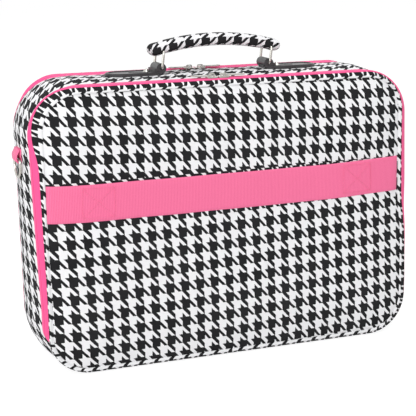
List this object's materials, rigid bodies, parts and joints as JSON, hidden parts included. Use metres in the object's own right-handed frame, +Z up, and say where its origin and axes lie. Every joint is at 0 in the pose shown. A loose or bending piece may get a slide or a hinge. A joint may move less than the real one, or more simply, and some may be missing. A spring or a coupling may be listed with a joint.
{
  "type": "laptop case",
  "caption": "Rectangular fabric-covered laptop case with two zipped lids, an arched top handle on metal rings, side D-rings and a webbing band across the front.",
  "frame": {"origin": "middle of the case's overall footprint, on the floor that it stands on", "axes": "+X to the right of someone facing the front lid, +Y from the front lid to the back, +Z up"},
  "size_m": [0.4428, 0.1168, 0.3498],
  "materials": {
    "houndstooth": "black and off-white checked canvas",
    "lining": "plain woven nylon lining",
    "stiff_board": "stiffening board",
    "moulded_core": "moulded grip core",
    "zip_tape": "pink nylon zip tape with a reversed coil",
    "webbing": "ribbed pink webbing",
    "black_webbing": "ribbed black webbing",
    "moulded_plate": "black moulded leather-look plate, half gloss",
    "nickel": "polished nickel plate",
    "steel": "zinc-plated strip"
  },
  "bodies": {
    "case": {"gusset_shell": "houndstooth", "gusset_lining": "lining", "divider_panel": "lining", "organizer_pocket": "lining", "laptop_strap": "black_webbing", "front_zip_chain_case": "zip_tape", "rear_zip_chain_case": "zip_tape", "front_hinge_strip": "houndstooth", "rear_hinge_strip": "houndstooth", "handle_plate_left": "moulded_plate", "handle_plate_right": "moulded_plate", "handle_rivets": "nickel", "handle_backing_bar": "steel", "d_ring_tab_left": "webbing", "d_ring_tab_right": "webbing"},
    "front_lid": {"front_cover": "houndstooth", "front_board": "stiff_board", "front_lining": "lining", "front_zip_chain_lid": "zip_tape", "trolley_strap": "webbing"},
    "rear_lid": {"rear_cover": "houndstooth", "rear_board": "stiff_board", "rear_lining": "lining", "rear_zip_chain_lid": "zip_tape"},
    "handle_ring_left": {"handle_ring_left": "nickel"},
    "handle_ring_right": {"handle_ring_right": "nickel"},
    "handle_grip": {"handle_grip_cover": "houndstooth", "handle_grip_core": "moulded_core"},
    "d_ring_left": {"d_ring_left": "nickel"},
    "d_ring_right": {"d_ring_right": "nickel"},
    "front_slider_left": {"front_slider_left": "nickel"},
    "front_pull_left": {"front_pull_left": "nickel"},
    "front_slider_right": {"front_slider_right": "nickel"},
    "front_pull_right": {"front_pull_right": "nickel"},
    "rear_slider_left": {"rear_slider_left": "nickel"},
    "rear_pull_left": {"rear_pull_left": "nickel"},
    "rear_slider_right": {"rear_slider_right": "nickel"},
    "rear_pull_right": {"rear_pull_right": "nickel"}
  },
  "joints": [
    {"name": "front_lid_hinge", "type": "hinge", "parent": "case", "child": "front_lid", "pos_m": [0, -0.05563, 0.003], "axis": [1, 0, 0], "range_deg": [0, 90]},
    {"name": "rear_lid_hinge", "type": "hinge", "parent": "case", "child": "rear_lid", "pos_m": [0, 0.05738, 0.003], "axis": [-1, 0, 0], "range_deg": [0, 90]},
    {"name": "handle_ring_left_hinge", "type": "hinge", "parent": "case", "child": "handle_ring_left", "pos_m": [-0.062, 0.00088, 0.315], "axis": [0, 1, 0], "range_deg": [-60, 46]},
    {"name": "handle_ring_right_hinge", "type": "hinge", "parent": "case", "child": "handle_ring_right", "pos_m": [0.062, 0.00088, 0.315], "axis": [0, 1, 0], "range_deg": [-60, 46]},
    {"name": "handle_grip_hinge", "type": "hinge", "parent": "handle_ring_left", "child": "handle_grip", "pos_m": [-0.05981, 0.00088, 0.33287], "axis": [0, 1, 0], "range_deg": [-46, 60]},
    {"name": "d_ring_left_hinge", "type": "hinge", "parent": "case", "child": "d_ring_left", "pos_m": [-0.2182, 0.00088, 0.2275], "axis": [0, 1, 0], "range_deg": [0, 150]},
    {"name": "d_ring_right_hinge", "type": "hinge", "parent": "case", "child": "d_ring_right", "pos_m": [0.2182, 0.00088, 0.2275], "axis": [0, -1, 0], "range_deg": [0, 150]},
    {"name": "front_slider_left_slide", "type": "slide", "parent": "case", "child": "front_slider_left", "axis": [-1, 0, 0], "range_m": [0, 0.1332]},
    {"name": "front_pull_left_hinge", "type": "hinge", "parent": "front_slider_left", "child": "front_pull_left", "pos_m": [-0.01755, -0.04263, 0.3092], "axis": [0, 1, 0], "range_deg": [0, 100]},
    {"name": "front_slider_right_slide", "type": "slide", "parent": "case", "child": "front_slider_right", "axis": [1, 0, 0], "range_m": [0, 0.1552]},
    {"name": "front_pull_right_hinge", "type": "hinge", "parent": "front_slider_right", "child": "front_pull_right", "pos_m": [-0.00445, -0.04263, 0.3092], "axis": [0, -1, 0], "range_deg": [0, 100]},
    {"name": "rear_slider_left_slide", "type": "slide", "parent": "case", "child": "rear_slider_left", "axis": [-1, 0, 0], "range_m": [0, 0.1392]},
    {"name": "rear_pull_left_hinge", "type": "hinge", "parent": "rear_slider_left", "child": "rear_pull_left", "pos_m": [-0.01155, 0.04437, 0.3092], "axis": [0, 1, 0], "range_deg": [0, 100]},
    {"name": "rear_slider_right_slide", "type": "slide", "parent": "case", "child": "rear_slider_right", "axis": [1, 0, 0], "range_m": [0, 0.1492]},
    {"name": "rear_pull_right_hinge", "type": "hinge", "parent": "rear_slider_right", "child": "rear_pull_right", "pos_m": [0.00155, 0.04437, 0.3092], "axis": [0, -1, 0], "range_deg": [0, 100]}
  ],
  "couplings": [
    {"joint": "handle_ring_right_hinge", "follows": "handle_ring_left_hinge", "ratio": 1},
    {"joint": "handle_grip_hinge", "follows": "handle_ring_left_hinge", "ratio": -1}
  ]
}
